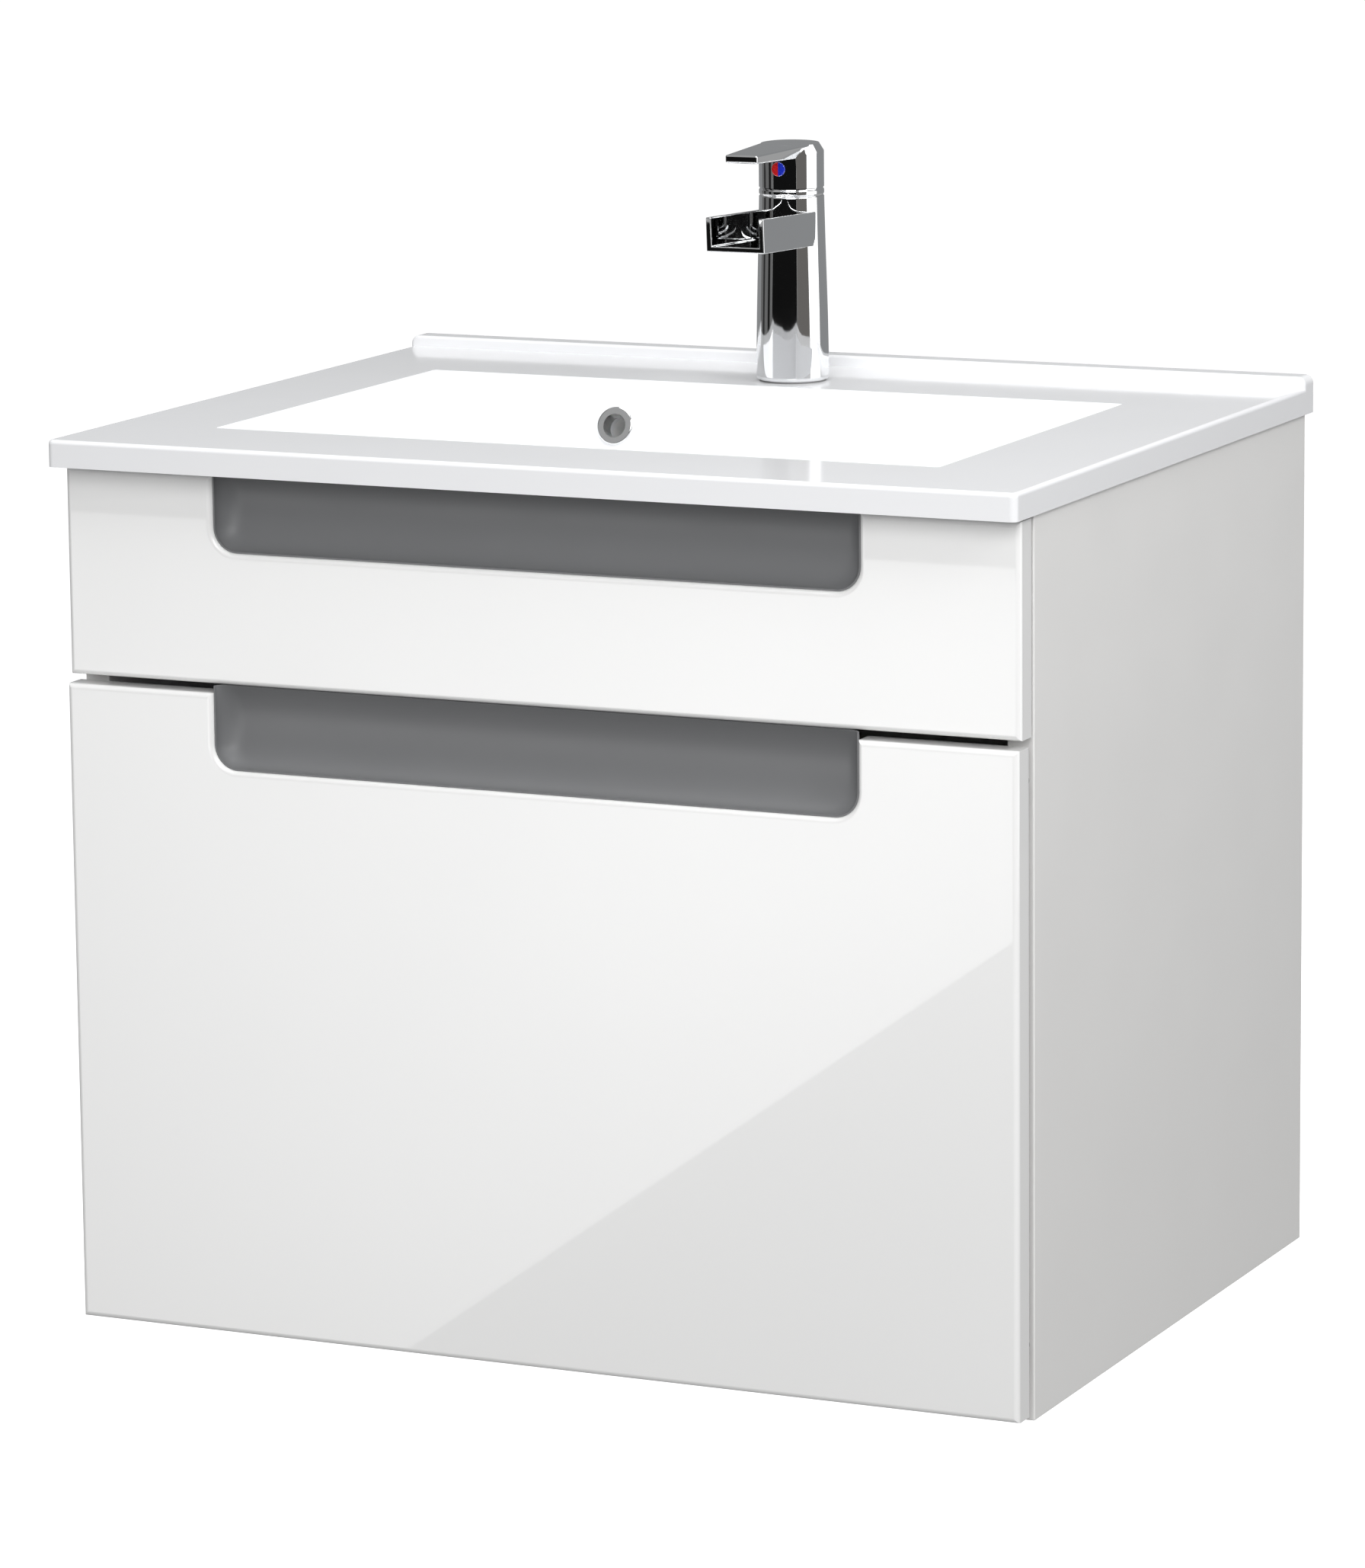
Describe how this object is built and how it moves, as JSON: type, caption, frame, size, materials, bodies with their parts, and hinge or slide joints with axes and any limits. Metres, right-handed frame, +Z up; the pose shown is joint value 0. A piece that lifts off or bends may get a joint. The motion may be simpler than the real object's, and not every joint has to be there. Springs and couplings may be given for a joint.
{
  "type": "bathroom vanity cabinet",
  "caption": "Wall-hung white vanity with full-extension drawers, grey scooped grip recesses, slab basin with rectangular bowl and chrome lever mixer with open trough spout.",
  "frame": {"origin": "on the wall plane, centred on the cabinet, at the height of the wall rail", "axes": "+X to the right seen from the front, +Y into the wall, +Z up"},
  "size_m": [0.606, 0.482, 0.6774],
  "materials": {
    "front_gloss": "white high-gloss foil on board",
    "grip_grey": "anthracite gloss",
    "board_white": "white melamine",
    "drawer_board": "light grey melamine",
    "trap_guard": "light grey melamine",
    "dowel_wood": "plain beech",
    "basin_white": "white gloss",
    "chrome": "polished",
    "zinc_steel": "zinc plated",
    "brass": "plain",
    "trap_plastic": "white polypropylene",
    "cartridge_plastic": "plain",
    "rubber_grey": "soft",
    "mark_red": "gloss",
    "mark_blue": "gloss"
  },
  "bodies": {
    "cabinet": {"back_panel": "board_white", "basin": "basin_white", "bottom_panel": "board_white", "cabinet_hooks": "zinc_steel", "carcass_dowels": "dowel_wood", "closing_pads": "rubber_grey", "faucet_body": "chrome", "faucet_cartridge": "cartridge_plastic", "faucet_clamp": "zinc_steel", "faucet_collar": "chrome", "faucet_gasket": "rubber_grey", "faucet_inlets": "brass", "faucet_nut": "brass", "faucet_spout": "chrome", "faucet_stud": "zinc_steel", "front_rail": "board_white", "lower_cabinet_slides": "zinc_steel", "overflow_pipe": "trap_plastic", "overflow_ring": "chrome", "rear_fixing_rail": "board_white", "rear_lower_rail": "board_white", "side_panel_left": "board_white", "side_panel_right": "board_white", "slide_screws": "zinc_steel", "trap_bottle": "trap_plastic", "trap_outlet_pipe": "trap_plastic", "trap_tail": "trap_plastic", "union_nuts": "trap_plastic", "upper_cabinet_slides": "zinc_steel", "wall_rail": "zinc_steel", "wall_rosette": "trap_plastic", "wall_spacers": "rubber_grey", "waste_body": "chrome", "waste_gasket": "rubber_grey", "waste_nut": "brass"},
    "upper_drawer": {"upper_front": "front_gloss", "upper_grip": "grip_grey", "upper_drawer_side_left": "drawer_board", "upper_drawer_side_right": "drawer_board", "upper_drawer_back": "drawer_board", "upper_drawer_bottom": "drawer_board", "upper_trap_guard": "trap_guard", "upper_front_brackets": "zinc_steel", "upper_drawer_rails": "zinc_steel"},
    "lower_drawer": {"lower_front": "front_gloss", "lower_grip": "grip_grey", "lower_drawer_side_left": "drawer_board", "lower_drawer_side_right": "drawer_board", "lower_drawer_back": "drawer_board", "lower_drawer_bottom": "drawer_board", "lower_front_brackets": "zinc_steel", "lower_drawer_rails": "zinc_steel"},
    "upper_slide_middles": {"upper_middle_slides": "zinc_steel"},
    "lower_slide_middles": {"lower_middle_slides": "zinc_steel"},
    "mixer_turn": {"cartridge_disc": "cartridge_plastic"},
    "mixer_lever": {"faucet_handle": "chrome", "faucet_stem": "cartridge_plastic", "red_mark": "mark_red", "blue_mark": "mark_blue"},
    "plug": {"waste_plug": "chrome"}
  },
  "joints": [
    {"name": "upper_drawer_slide", "type": "slide", "parent": "cabinet", "child": "upper_drawer", "axis": [0, -1, 0], "range_m": [0, 0.38]},
    {"name": "upper_middle_slide", "type": "slide", "parent": "cabinet", "child": "upper_slide_middles", "axis": [0, -1, 0], "range_m": [0, 0.19]},
    {"name": "lower_drawer_slide", "type": "slide", "parent": "cabinet", "child": "lower_drawer", "axis": [0, -1, 0], "range_m": [0, 0.38]},
    {"name": "lower_middle_slide", "type": "slide", "parent": "cabinet", "child": "lower_slide_middles", "axis": [0, -1, 0], "range_m": [0, 0.19]},
    {"name": "mixer_temperature", "type": "hinge", "parent": "cabinet", "child": "mixer_turn", "pos_m": [-0.005, -0.084, 0.19], "axis": [0, 0, 1], "range_deg": [-45, 45]},
    {"name": "mixer_flow", "type": "hinge", "parent": "mixer_turn", "child": "mixer_lever", "pos_m": [-0.005, -0.073, 0.1979], "axis": [-1, 0, 0], "range_deg": [0, 20]},
    {"name": "plug_lift", "type": "slide", "parent": "cabinet", "child": "plug", "axis": [0, 0, 1], "range_m": [0, 0.008]}
  ],
  "couplings": [
    {"joint": "upper_middle_slide", "follows": "upper_drawer_slide", "ratio": 0.5},
    {"joint": "lower_middle_slide", "follows": "lower_drawer_slide", "ratio": 0.5}
  ]
}
